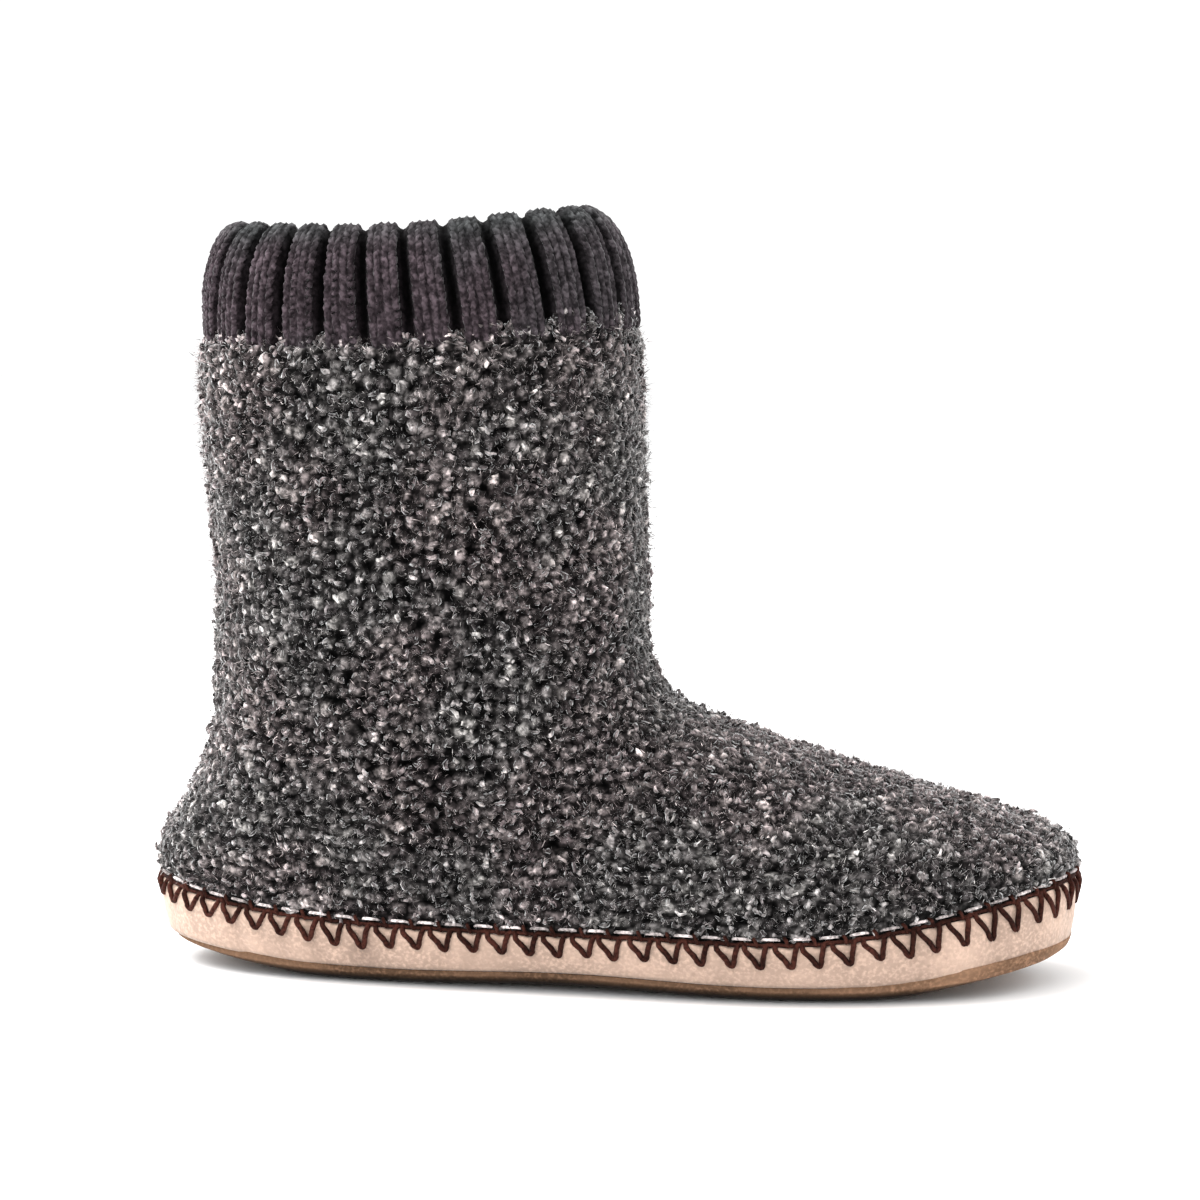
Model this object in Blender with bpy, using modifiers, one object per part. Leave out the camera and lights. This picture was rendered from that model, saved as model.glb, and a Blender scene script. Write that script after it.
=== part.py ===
"""Boot slipper for the right foot, at its real size: the construction of its five pieces.

Metres with +Z up. The toe points along +X and the outer (lateral) side faces -Y. The origin lies
on the floor under the middle of the shoe. The tables and the shape functions work in millimetres,
and every point is scaled to metres when its mesh is made.

A slipper of this kind is a hollow knitted boot with a rib cuff sewn to its top. Its lower edge is
closed by a thin outsole and held all round by a suede band, and a soft footbed lies inside.
"""

from collections import namedtuple

import bpy
import numpy as np

MM = 0.001
SEAT = 0.3  # gap left where one piece rests on another
COLLAR_SEAT = 0.5  # the same on the sloping rim that carries the cuff

# Driving sizes of the last
LENGTH = 280.0
HALF_LENGTH = LENGTH / 2
END_ROUNDNESS = 5.0  # how square the toe and heel are in plan: 2 is an ellipse
TOE_SPRING = 10.0  # lift of the outsole at the tip of the toe
TOE_SPRING_FROM = 72.0
HEEL_LIFT = 6.5  # lift at the back edge of the heel
HEEL_LIFT_FROM = -74.0
ARCH = 1.4
ARCH_SPAN = (-58.0, 50.0)

# Thicknesses
OUTSOLE = 5.3  # suede wrapped over a thin felt filler
BAND = 2.0  # suede band
TUCK = 5.0  # how far the band's lower edge is drawn in under its upper part
UPPER_WALL = 4.0  # boucle knit with its pile and fleece lining
CUFF_WALL = 7.0  # chunky rib, folded double
FOOTBED = 8.0

# The collar, where the cuff is sewn on: a plane that rises a little towards the toe
COLLAR_HEIGHT = 191.0  # at the middle of the shaft
COLLAR_MIDDLE = -57.0
COLLAR_SLOPE = 0.045
COLLAR_SPAN = (-124.0, 10.0)
COLLAR_DIP = 2.6  # how far the soft edge sags between the heel seam and the shin
CUFF_HEIGHT = 33.2
CUFF_FORWARD = 1.0  # the foot of the cuff lies nearer the shin than the heel
CUFF_BACKWARD = 2.0  # how far its rim is drawn back from there

COLUMNS = 48  # points round each ring, the same in every piece
RINGS = 26  # rings of the upper from the band to the collar

# Plan of the sole, outside the band: the middle line and the half width before the ends are rounded
SolePlan = namedtuple("SolePlan", "x middle half_width")
SOLE_PLAN = (
    SolePlan(-140, 0.0, 36.0),
    SolePlan(-95, -1.0, 38.5),
    SolePlan(-20, -5.0, 39.5),
    SolePlan(55, -0.2, 49.5),
    SolePlan(110, 4.0, 47.0),
    SolePlan(140, 7.0, 44.0),
)

# Top edge of the suede band above the floor
BandTop = namedtuple("BandTop", "x top")
BAND_TOP = (
    BandTop(-140, 27.0),
    BandTop(-108, 21.2),
    BandTop(-82, 18.9),
    BandTop(-55, 17.9),
    BandTop(20, 18.0),
    BandTop(74, 18.4),
    BandTop(101, 23.3),
    BandTop(124, 28.9),
    BandTop(140, 33.0),
)

# The forefoot: the height of the ridge over the foot, and how much of the sole's width it fills
Instep = namedtuple("Instep", "x ridge fill")
INSTEP = (
    Instep(-90, 15.0, 0.20),
    Instep(-50, 60.0, 0.40),
    Instep(-15, 86.0, 0.75),
    Instep(20, 80.5, 0.97),
    Instep(58, 68.0, 1.00),
    Instep(92, 58.0, 1.00),
    Instep(140, 44.5, 1.00),
)
DOME_FOOT = 14.0  # height at which the dome of the forefoot starts
DOME_SIDE = 2.3  # exponents of its cross-section
DOME_TOP = 2.2
TOE_CAP_FROM = 98.0
TOE_CAP_ROUNDNESS = 5.0

# The heel and the shaft: how far each level reaches back and forward, and its half width
Leg = namedtuple("Leg", "z back front half_width")
LEG = (
    Leg(0, -137.5, 14.0, 35.0),
    Leg(27, -140.0, 15.0, 38.0),
    Leg(39, -136.5, 15.0, 40.5),
    Leg(52, -129.0, 15.0, 42.5),
    Leg(71, -122.0, 14.0, 44.5),
    Leg(92, -119.5, 12.5, 46.0),
    Leg(126, -119.8, 10.5, 47.0),
    Leg(168, -123.0, 9.0, 47.5),
    Leg(200, -124.5, 8.0, 47.5),
)
LEG_ROUNDNESS = 2.3
ANKLE_BLEND = 12.0  # size of the soft curve between shaft and forefoot
BAND_BLEND = 26.0  # height over which the upper leaves the outline of the sole

# Cross-section of the band: depth inside the sole's outline, and height from its foot to its top
BandSection = namedtuple("BandSection", "inset rise")
BAND_SECTION = (
    BandSection(TUCK, 0.0),
    BandSection(2.8, 0.3),
    BandSection(1.1, 0.62),
    BandSection(0.3, 0.9),
    BandSection(1.1, 1.0),
    BandSection(BAND + 0.4, 0.95),
    BandSection(BAND + 1.0, 0.6),
    BandSection(BAND + TUCK, 0.0),
)

# Cross-section of the cuff: depth inside the collar's outline, and height above the seam
CuffSection = namedtuple("CuffSection", "inset rise")
CUFF_SECTION = (
    CuffSection(1.6, 0.0),
    CuffSection(1.8, 10.0),
    CuffSection(3.2, 19.0),
    CuffSection(5.2, 25.0),
    CuffSection(7.8, 29.6),
    CuffSection(10.5, 32.3),
    CuffSection(12.8, CUFF_HEIGHT),
    CuffSection(14.8, 31.8),
    CuffSection(15.5, 28.0),
    CuffSection(13.2, 19.5),
    CuffSection(10.0, 9.0),
    CuffSection(1.6 + CUFF_WALL, 0.0),
)


def smooth(rows, column, at):
    """The value of a column at some place along its table, on one smooth curve through the rows."""
    places = np.array([row[0] for row in rows], float)
    values = np.array([getattr(row, column) for row in rows], float)
    slopes = np.gradient(values, places)
    at = np.clip(at, places[0], places[-1])
    left = np.clip(np.searchsorted(places, at) - 1, 0, len(places) - 2)
    span = places[left + 1] - places[left]
    t = (at - places[left]) / span
    return (
        values[left] * (1 + 2 * t) * (1 - t) ** 2
        + values[left + 1] * (3 - 2 * t) * t**2
        + span * slopes[left] * t * (1 - t) ** 2
        + span * slopes[left + 1] * (t - 1) * t**2
    )


def ramp(value, start, end):
    """0 before start, 1 after end and straight between them."""
    return np.clip((value - start) / (end - start), 0.0, 1.0)


def ease(value, start, end):
    """0 before start, 1 after end and an S curve between them."""
    t = ramp(value, start, end)
    return t * t * (3 - 2 * t)


def column_angles():
    """The angle of each column: 0 at the toe, half a turn at the heel, the medial side first."""
    return np.arange(COLUMNS) * 2 * np.pi / COLUMNS


def end_rounding(x):
    return np.sqrt(1 - np.abs(np.clip(x / HALF_LENGTH, -1, 1)) ** END_ROUNDNESS)


def plan_point(angle):
    x = HALF_LENGTH * np.cos(angle)
    side = np.sign(np.sin(angle)) * smooth(SOLE_PLAN, "half_width", x) * end_rounding(x)
    return np.stack([x, smooth(SOLE_PLAN, "middle", x) + side], -1)


def plan_ring(inset):
    """The sole's outline, moved inwards: one point for each column."""
    angles = column_angles() + 1e-6
    tangent = plan_point(angles + 1e-3) - plan_point(angles - 1e-3)
    return inwards(plan_point(angles), tangent, inset)


def inwards(points, tangent, inset):
    """Points moved to the left of the tangent, which is inwards on a ring that turns left."""
    normal = np.stack([-tangent[:, 1], tangent[:, 0]], -1)
    return points + inset * normal / np.linalg.norm(normal, axis=1, keepdims=True)


def underside(x):
    """Height of the outsole's underside: flat at heel and ball, a low arch, toe spring, heel lift."""
    toe = TOE_SPRING * ramp(x, TOE_SPRING_FROM, HALF_LENGTH) ** 2
    heel = HEEL_LIFT * ramp(-x, -HEEL_LIFT_FROM, HALF_LENGTH) ** 2
    arch = ARCH * np.sin(np.pi * ramp(x, *ARCH_SPAN)) ** 2
    return toe + heel + arch


def bed(x):
    """Height at which the pieces that stand on the outsole begin."""
    return underside(x) + OUTSOLE + SEAT


def band_height(x, rise):
    """Height of a point on the band, from 0 at its foot to 1 at its top edge."""
    return bed(x) + rise * (smooth(BAND_TOP, "top", x) - bed(x))


def collar(x):
    sag = COLLAR_DIP * np.sin(np.pi * ramp(x, *COLLAR_SPAN)) ** 2
    return COLLAR_HEIGHT + COLLAR_SLOPE * (x - COLLAR_MIDDLE) - sag


def leg_depth(x, y, z):
    """About how far a point lies outside the heel and shaft, and less than 0 inside."""
    back = smooth(LEG, "back", z)
    front = smooth(LEG, "front", z)
    along = x - (back + front) / 2
    gauge = np.abs(along / ((front - back) / 2)) ** LEG_ROUNDNESS
    gauge += np.abs(y / smooth(LEG, "half_width", z)) ** LEG_ROUNDNESS
    gauge = np.maximum(gauge, 1e-9) ** (1 / LEG_ROUNDNESS)
    return np.hypot(along, y) * (1 - 1 / gauge)


def foot_depth(x, y, z):
    """The same for the forefoot, whose cross-sections are domes between the sole and the ridge."""
    half_width = smooth(SOLE_PLAN, "half_width", x) * smooth(INSTEP, "fill", x) * end_rounding(x)
    cap = np.sqrt(1 - ramp(x, TOE_CAP_FROM, HALF_LENGTH) ** TOE_CAP_ROUNDNESS)
    rise = (smooth(INSTEP, "ridge", x) - DOME_FOOT) * cap
    height = np.maximum(z - DOME_FOOT, 0)
    gauge = np.abs(y / np.maximum(half_width, 1e-3)) ** DOME_SIDE
    gauge += (height / np.maximum(rise, 1e-3)) ** DOME_TOP
    gauge = np.maximum(gauge, 1e-9) ** (2 / (DOME_SIDE + DOME_TOP))
    return np.hypot(y, height) * (1 - 1 / gauge)


def last_depth(x, y, z):
    """Shaft and forefoot run into each other over the ankle's blend."""
    leg = leg_depth(x, y, z)
    foot = foot_depth(x, y, z)
    near = np.maximum(ANKLE_BLEND - np.abs(leg - foot), 0) / ANKLE_BLEND
    return np.minimum(leg, foot) - near**2 * ANKLE_BLEND / 4


def reach(start_x, run_x, run_y, level):
    """How much of each run from the middle line it takes to come out of the last."""
    low = np.zeros_like(run_x)
    high = np.full_like(run_x, 2.2)
    for _ in range(40):
        middle = (low + high) / 2
        x = start_x + middle * run_x
        outside = (last_depth(x, middle * run_y, level(x)) > 0) | (np.abs(x) > HALF_LENGTH)
        high = np.where(outside, middle, high)
        low = np.where(outside, low, middle)
    return low


def last_ring(share):
    """A ring round the last, at some share of the way from the band's top edge to the collar."""

    def level(x):
        return (1 - share) * (smooth(BAND_TOP, "top", x) + 2.1) + share * collar(x)

    ahead = reach(COLLAR_MIDDLE, np.array([HALF_LENGTH]), np.zeros(1), level)[0]
    behind = reach(COLLAR_MIDDLE, np.array([-HALF_LENGTH]), np.zeros(1), level)[0]
    middle = COLLAR_MIDDLE + HALF_LENGTH * (ahead - behind) / 2
    half = HALF_LENGTH * (ahead + behind) / 2
    angles = column_angles()
    roundness = 2 + (END_ROUNDNESS - 2) * (1 - ease(share, 0.0, 0.35))
    across = np.sign(np.sin(angles)) * np.sqrt(1 - np.abs(np.cos(angles)) ** roundness)
    run_x = half * np.cos(angles)
    run_y = smooth(LEG, "half_width", level(middle)) * across
    taken = reach(middle, run_x, run_y, level)
    x = middle + taken * run_x
    sway = smooth(SOLE_PLAN, "middle", x) * (1 - 0.8 * ease(share, 0.1, 0.6))
    return np.stack([x, taken * run_y + sway, level(x)], -1)


def upper_rings():
    """Rings of the boot's outer face: tucked behind the band, then over its edge and up the last."""
    rings = []
    for inset, rise in ((TUCK, 0.0), (1.0, 0.6), (0.4, 0.98)):
        tucked = plan_ring(BAND + inset + SEAT)
        rings.append(np.column_stack([tucked, band_height(tucked[:, 0], rise)]))
    flush = plan_ring(0.8)
    for share in (np.arange(RINGS) / (RINGS - 1)) ** 1.45:
        ring = last_ring(share)
        above_band = share * (COLLAR_HEIGHT - smooth(BAND_TOP, "top", 0.0))
        leaving = ease(above_band, 0.0, BAND_BLEND)
        ring[:, :2] = (1 - leaving) * flush + leaving * ring[:, :2]
        rings.append(ring)
    return rings


def ring_loop(ring, section_inset):
    """A ring of points moved inwards in plan, whatever its shape."""
    tangent = np.roll(ring, -1, axis=0) - np.roll(ring, 1, axis=0)
    return inwards(ring[:, :2], tangent[:, :2], section_inset)


def new_object(name, points, faces, material):
    """A smooth-shaded object from points in millimetres."""
    mesh = bpy.data.meshes.new(name)
    mesh.from_pydata((np.asarray(points) * MM).tolist(), [], faces)
    mesh.shade_smooth()
    mesh.set_sharp_from_angle(angle=np.radians(50))
    mesh.materials.append(material)
    made = bpy.data.objects.new(name, mesh)
    parts.objects.link(made)
    return made


def skin(count, closed):
    """Four-sided faces between neighbouring rings. A closed skin joins its last ring to its first."""
    faces = []
    for ring in range(count if closed else count - 1):
        below = ring * COLUMNS
        above = (ring + 1) % count * COLUMNS
        for column in range(COLUMNS):
            after = (column + 1) % COLUMNS
            faces.append((below + column, below + after, above + after, above + column))
    return faces


def lid(first, upwards):
    """A cap over one ring, in strips from each column to the one across from it."""
    faces = []
    for column in range(COLUMNS // 2):
        near = (first + column, first + column + 1)
        far = (first + COLUMNS - column - 1, first + (COLUMNS - column) % COLUMNS)
        strip = list(dict.fromkeys(near + far))
        faces.append(tuple(strip if upwards else strip[::-1]))
    return faces


def plain_material(name, colour, roughness):
    material = bpy.data.materials.new(name)
    material.use_nodes = True
    shader = material.node_tree.nodes["Principled BSDF"]
    shader.inputs["Base Color"].default_value = (*colour, 1.0)
    shader.inputs["Roughness"].default_value = roughness
    shader.inputs["Metallic"].default_value = 0.0
    return material


def slab(name, sections, floor, material):
    """A closed plate from rings of (inset, height above floor(x)), bottom to top, with two lids."""
    rings = []
    for inset, rise in sections:
        plan = plan_ring(inset)
        rings.append(np.column_stack([plan, floor(plan[:, 0]) + rise]))
    faces = skin(len(rings), closed=False)
    faces += lid(0, upwards=False) + lid((len(rings) - 1) * COLUMNS, upwards=True)
    return new_object(name, np.concatenate(rings), faces, material)


def outsole():
    tan = plain_material("outsole_suede", (0.38, 0.23, 0.14), 0.85)
    edge = TUCK + 0.1
    under = ((9.0, 0.0), (4.6, 0.6), (1.6, 1.8), (0.4, 3.0), (0.0, 4.0))
    sections = [(edge + inset, rise) for inset, rise in under] + [(edge, OUTSOLE)]
    return slab("outsole", sections, underside, tan)


def insole():
    """The footbed fills the foot of the upper and flares with its wall."""
    cloth = plain_material("footbed_cloth", (0.10, 0.09, 0.09), 0.95)
    foot = BAND + TUCK + SEAT + UPPER_WALL + 0.5
    sections = ((foot, 0.0), (foot - 1.5, FOOTBED - 1.5), (foot - 0.3, FOOTBED))
    return slab("insole", sections, bed, cloth)


def sidewall():
    suede = plain_material("band_suede", (0.74, 0.51, 0.37), 0.9)
    rings = []
    for row in BAND_SECTION:
        plan = plan_ring(row.inset)
        rings.append(np.column_stack([plan, band_height(plan[:, 0], row.rise)]))
    return new_object("sidewall", np.concatenate(rings), skin(len(rings), closed=True), suede)


def upper():
    """The boot as one open skin, thickened inwards to its real wall."""
    boucle = plain_material("boucle_knit", (0.085, 0.078, 0.077), 0.95)
    rings = upper_rings()
    made = new_object("upper", np.concatenate(rings), skin(len(rings), closed=False), boucle)
    wall = made.modifiers.new("wall", "SOLIDIFY")
    wall.thickness = UPPER_WALL * MM
    wall.offset = -1.0
    wall.use_even_offset = True
    return made


def cuff():
    rib = plain_material("rib_knit", (0.035, 0.028, 0.031), 0.95)
    seam = upper_rings()[-1]
    rings = []
    for row in CUFF_SECTION:
        plan = ring_loop(seam, row.inset)
        forward = CUFF_FORWARD - CUFF_BACKWARD * row.rise / CUFF_HEIGHT
        height = collar(plan[:, 0]) + COLLAR_SEAT + row.rise
        rings.append(np.column_stack([plan + (forward, 0.0), height]))
    return new_object("cuff", np.concatenate(rings), skin(len(rings), closed=True), rib)


for leftover in list(bpy.data.objects):
    bpy.data.objects.remove(leftover, do_unlink=True)
parts = bpy.data.collections.new("boot_slipper")
bpy.context.scene.collection.children.link(parts)
outsole()
insole()
sidewall()
upper()
cuff()
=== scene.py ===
"""Boot slipper for the right foot: the look of every piece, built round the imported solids.

Metres with +Z up. The toe points along +X and the outer side faces -Y. Each section makes one
piece in the order in which the slipper is put together. The smooth outlines are all walked round
the solids of the frame, so a piece lies where its solid lies.
"""

from collections import namedtuple

import bmesh
import bpy
import numpy as np
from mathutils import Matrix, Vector
from mathutils.bvhtree import BVHTree
from mathutils.kdtree import KDTree


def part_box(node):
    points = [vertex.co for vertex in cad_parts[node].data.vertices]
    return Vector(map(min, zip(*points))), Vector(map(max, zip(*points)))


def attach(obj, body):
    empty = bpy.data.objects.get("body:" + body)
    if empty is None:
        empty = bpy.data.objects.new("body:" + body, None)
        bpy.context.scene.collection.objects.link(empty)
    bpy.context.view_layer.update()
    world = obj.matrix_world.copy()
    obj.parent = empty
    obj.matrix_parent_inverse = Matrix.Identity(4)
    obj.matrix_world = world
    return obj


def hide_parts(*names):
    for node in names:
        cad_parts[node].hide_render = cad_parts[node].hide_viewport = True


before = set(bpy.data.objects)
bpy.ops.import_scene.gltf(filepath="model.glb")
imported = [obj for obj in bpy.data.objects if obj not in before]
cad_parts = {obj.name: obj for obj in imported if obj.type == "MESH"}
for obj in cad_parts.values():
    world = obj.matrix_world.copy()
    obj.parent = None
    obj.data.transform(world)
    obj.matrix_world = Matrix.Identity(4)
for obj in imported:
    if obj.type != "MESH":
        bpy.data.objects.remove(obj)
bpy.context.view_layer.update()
MM = 0.001

# ---- Outsole ----
# Tan suede under the whole foot, wrapped over a thin felt filler and turned up at the toe. Its
# rounded edge shows as a brown line under the band. Its underside and the edge that rolls under
# are painted dark as painted contact shadow, fainter at its lifted ends, with a painted shadow
# line under the foot of the band.
STATIONS = 720  # evenly spaced places round an outline
OUTSOLE_TAN = (0.225, 0.130, 0.080)
OUTSOLE_EDGE = 0.9 * MM  # how far its top face lies inside its lip
SETTLED = 0.6 * MM  # how far the weight of the boot has pressed its felt filler together
SHADOW_FADE = 0.5  # how far the painted contact shadow fades out at its lifted ends
UNDERSIDE_SHADE = (0.9, 0.9, 0.9, 0.8)  # painted shade on each ring of its underside, and of its lip: one is fully lit
LIP_SHADE = (0.75, 0.9, 0.9, 0.5)
# Measures that change from the heel to the toe: each place along the shoe, and the measure
# there, in millimetres. First how far the sole's lip climbs over the foot of the band, then how
# much thinner the sole gets under its lifted ends, how much more its edge is pared away from
# below at the very ends, and how far it reaches out.
TURNED_UP = (
    ((-140, 0.6), (-115, 1.2), (-90, 0.5), (-50, 0.2), (70, 0.2))
    + ((92, 1.2), (104, 2.4), (125, 2.6), (132, 1.9), (140, 0.8))
)
ENDS_THIN = ((-140, 3.6), (-120, 2.4), (-90, 0.0), (95, 0.0), (120, 2.2), (140, 3.4))
ENDS_PARED = (
    ((-140, 1.6), (-132, 0.4), (-122, 0.0))
    + ((120, 0.0), (128, 0.5), (134, 1.6), (140, 3.0))
)
ENDS_REACH = ((-138, 0.2), (-118, 0.2), (95, 0.0), (130, 2.1))
# Its edge, rounded under: depth inside its outline, height from the floor, and its painted shade
SOLE_EDGE = (
    ((9.0 * MM, 0.0 * MM, 0.40), (4.6 * MM, 0.6 * MM, 0.06), (1.6 * MM, 1.8 * MM, 0.05))
    + ((0.5 * MM, 3.0 * MM, 0.40), (0.0 * MM, 3.8 * MM, 1.00))
)

Walk = namedtuple("Walk", "plan outward low high girth")


def along_shoe(table, x):
    """A measure that changes from the heel to the toe, read at some places."""
    places, measures = np.array(table).T * MM
    return np.interp(x, places, measures)


def tree_of(node):
    """A search tree over the surface of a solid."""
    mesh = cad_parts[node].data
    corners = [v.co for v in mesh.vertices]
    return BVHTree.FromPolygons(corners, [list(f.vertices) for f in mesh.polygons])


def even_loop(loop, count):
    """A closed loop of plan points, resampled at even steps, and its whole length."""
    steps = np.linalg.norm(np.roll(loop, -1, axis=0) - loop, axis=1)
    along = np.concatenate([[0], np.cumsum(steps)])
    at = np.arange(count) * along[-1] / count
    closed = np.concatenate([loop, loop[:1]])
    return np.stack([np.interp(at, along, closed[:, i]) for i in range(2)], -1), along[-1]


def soften(values, reach):
    """Values round a closed loop, each evened out with its neighbours on both sides."""
    offsets = np.arange(-3 * reach, 3 * reach + 1)
    weights = np.exp(-0.5 * (offsets / reach) ** 2)
    shifted = [w * np.roll(values, o, axis=0) for w, o in zip(weights, offsets)]
    return np.sum(shifted, axis=0) / weights.sum()


def left_of(loop):
    """Unit vectors in plan that point out of a loop which turns left."""
    tangent = np.roll(loop, -1, axis=0) - np.roll(loop, 1, axis=0)
    normal = np.stack([tangent[:, 1], -tangent[:, 0]], -1)
    return normal / np.linalg.norm(normal, axis=1, keepdims=True)


def heights(tree, plan, start, way):
    """The height at which each plan point, sent up or down, meets a surface. Misses are bridged."""
    hits = [tree.ray_cast(Vector((x, y, start)), way)[0] for x, y in plan]
    found = [i for i, hit in enumerate(hits) if hit is not None]
    return np.interp(np.arange(len(hits)), found, [hits[i].z for i in found], period=len(hits))


def walk_round(node, foot_inside, top_inside, softness=7):
    """The outline of a solid in plan from the toe round the inner side, and how high it stands.

    The heights of its foot and its top are each read a little way inside the outline.
    """
    low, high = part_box(node)
    centre = (low + high) / 2
    tree = tree_of(node)
    levels = np.linspace(low.z + 0.5 * MM, high.z - 0.5 * MM, 12)
    far = (high - low).length
    loop = []
    for angle in np.arange(STATIONS) * 2 * np.pi / STATIONS:
        way = Vector((np.cos(angle), np.sin(angle), 0.0))
        hits = [tree.ray_cast(Vector((*centre.xy, z)) + way * far, -way)[3] for z in levels]
        loop.append(centre.xy + way.xy * (far - min(h for h in hits if h is not None)))
    loop, girth = even_loop(np.array(loop), STATIONS)
    loop = soften(loop, softness)
    outward = left_of(loop)
    up = Vector((0, 0, 1))
    foot = heights(tree, loop - outward * foot_inside, low.z - far, up)
    top = heights(tree, loop - outward * top_inside, high.z + far, -up)
    return Walk(loop, outward, soften(foot, softness), soften(top, softness), girth)


def thinned(walk, every):
    """The same walk with fewer stations."""
    return Walk(*(values[::every] for values in walk[:-1]), walk.girth)


def ring(walk, inset, height):
    """Points round a walk, moved inwards in plan, at some height."""
    return np.column_stack([walk.plan - walk.outward * np.reshape(inset, (-1, 1)), height])


def round_loop(values, walk, along):
    """Values known at each station of a walk, read at any distance along it."""
    stations = np.arange(len(values) + 1) * walk.girth / len(values)
    closed = np.concatenate([values, values[:1]])
    along = np.mod(along, walk.girth)
    if values.ndim == 1:
        return np.interp(along, stations, closed)
    return np.stack([np.interp(along, stations, closed[:, i]) for i in range(values.shape[1])], -1)


def unit(vectors):
    """Vectors of length one that point the same way."""
    return vectors / np.maximum(np.linalg.norm(vectors, axis=-1, keepdims=True), 1e-12)


def spots(walk, along):
    """Places in plan at some distances along a walk, and the way out of it there."""
    return round_loop(walk.plan, walk, along), unit(round_loop(walk.outward, walk, along))


def shrunk(points, share):
    """A ring drawn in towards the middle line of the sole, for the faces of a plate."""
    middle = (points + points[(len(points) - np.arange(len(points))) % len(points)]) / 2
    drawn = points.copy()
    drawn[:, 1] += (middle[:, 1] - points[:, 1]) * share
    drawn[:, 0] *= 1 - 0.3 * share
    return drawn


def quads_between(rings, columns, closed=False):
    """Four-sided faces between neighbouring rings, the last one joined to the first if closed."""
    below = np.arange(rings if closed else rings - 1)[:, None] * columns
    above = (below + columns) % (rings * columns)
    column = np.arange(columns)[None, :]
    after = (column + 1) % columns
    corners = (below + column, below + after, above + after, above + column)
    return np.stack(corners, -1).reshape(-1, 4).tolist()


def lid(first, columns, upwards):
    """Strips over one ring, each from a column to the one across from it."""
    faces = []
    for column in range(columns // 2):
        near = (first + column, first + column + 1)
        far = (first + columns - column - 1, first + (columns - column) % columns)
        strip = list(dict.fromkeys(near + far))
        faces.append(strip if upwards else strip[::-1])
    return faces


def placed(name, data):
    """A new object in the scene."""
    made = bpy.data.objects.new(name, data)
    bpy.context.scene.collection.objects.link(made)
    return made


def fitted(name, mesh, material):
    """A smooth-shaded piece that rides on the shoe's one body."""
    mesh.shade_smooth()
    mesh.materials.append(material)
    piece = placed(name, mesh)
    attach(piece, "root")
    return piece


def new_piece(name, points, faces, material, stands_for):
    """A piece that takes the place of a solid."""
    mesh = bpy.data.meshes.new(name)
    mesh.from_pydata(np.asarray(points).tolist(), [], faces)
    piece = fitted(name, mesh, material)
    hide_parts(stands_for)
    return piece


def plate(rings):
    """Points and faces of a closed plate, from its rings from bottom to top."""
    columns = len(rings[0])
    faces = quads_between(len(rings), columns)
    faces += lid(0, columns, upwards=False) + lid((len(rings) - 1) * columns, columns, upwards=True)
    return np.concatenate(rings), faces


def new_material(name, roughness, sheen, sheen_tint=(1.0, 1.0, 1.0)):
    """A cloth or leather finish: its node tree, its shader, and where it is on the shoe."""
    material = bpy.data.materials.new(name)
    material.use_nodes = True
    shader = material.node_tree.nodes["Principled BSDF"]
    shader.inputs["Roughness"].default_value = roughness
    shader.inputs["Specular IOR Level"].default_value = 0.2
    shader.inputs["Sheen Weight"].default_value = sheen
    shader.inputs["Sheen Roughness"].default_value = 0.45
    shader.inputs["Sheen Tint"].default_value = (*sheen_tint, 1.0)
    place = material.node_tree.nodes.new("ShaderNodeTexCoord").outputs["Object"]
    return material, shader, place


def node(material, kind, sockets, **settings):
    """A new node, each of its sockets set to a value or a colour, or joined to another node."""
    made = material.node_tree.nodes.new("ShaderNode" + kind)
    for key, value in settings.items():
        setattr(made, key, value)
    for key, value in sockets.items():
        if isinstance(value, bpy.types.NodeSocket):
            material.node_tree.links.new(value, made.inputs[key])
        else:
            made.inputs[key].default_value = (*value, 1.0) if isinstance(value, tuple) else value
    return made


def noise(material, place, size, detail=3.0, stretch=(1, 1, 1)):
    """Soft noise with lumps of about that size, drawn out along an axis by its stretch."""
    lumps = np.array(stretch, float) * size * 2
    scaled = node(material, "VectorMath", {0: place, 1: lumps}, operation="DIVIDE")
    sockets = {"Vector": scaled.outputs[0], "Scale": 1.0, "Detail": detail}
    return node(material, "TexNoise", sockets).outputs["Fac"]


def eased(material, share, low, high, least=0.0, most=1.0):
    """A share that goes softly from least to most as the given one goes from low to high."""
    sockets = {"Value": share, "From Min": low, "From Max": high, "To Min": least, "To Max": most}
    return node(material, "MapRange", sockets, interpolation_type="SMOOTHSTEP").outputs[0]


def blend(material, share, low, high, first, second):
    """A colour that goes from first to second as share goes from low to high."""
    sockets = {"Factor": eased(material, share, low, high), 6: first, 7: second}
    return node(material, "Mix", sockets, data_type="RGBA").outputs[2]


def finished(material, shader, colour, layers):
    """A finish of some colour, with relief from several noises and the height of their lumps."""
    links, below = material.node_tree.links, {}
    for lumps, depth in layers:
        relief = node(material, "Bump", {"Distance": depth, "Height": lumps, **below})
        below = {"Normal": relief.outputs[0]}
    links.new(below["Normal"], shader.inputs["Normal"])
    links.new(colour, shader.inputs["Base Color"])
    return material


def times(colour, factor):
    """A colour made paler or darker."""
    return tuple(float(c) * factor for c in colour)


def painted(piece, shades):
    """Multiplies the material's colour at each point by its own colour, which carries painted shade
    too.
    """
    layer = piece.data.attributes.new("dye_and_shade", "FLOAT_COLOR", "POINT")
    rgba = np.ones((len(piece.data.vertices), 4), np.float32)
    rgba[:, :3] = np.reshape(shades, (len(rgba), -1))
    layer.data.foreach_set("color", rgba.ravel())


def dyed_and_shaded(material, colour):
    """A colour times the one that is painted on each point of the piece."""
    dye_and_shade = node(material, "Attribute", {}, attribute_name="dye_and_shade").outputs["Color"]
    return node(material, "VectorMath", {0: dye_and_shade, 1: colour}, operation="MULTIPLY").outputs[0]


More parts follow.
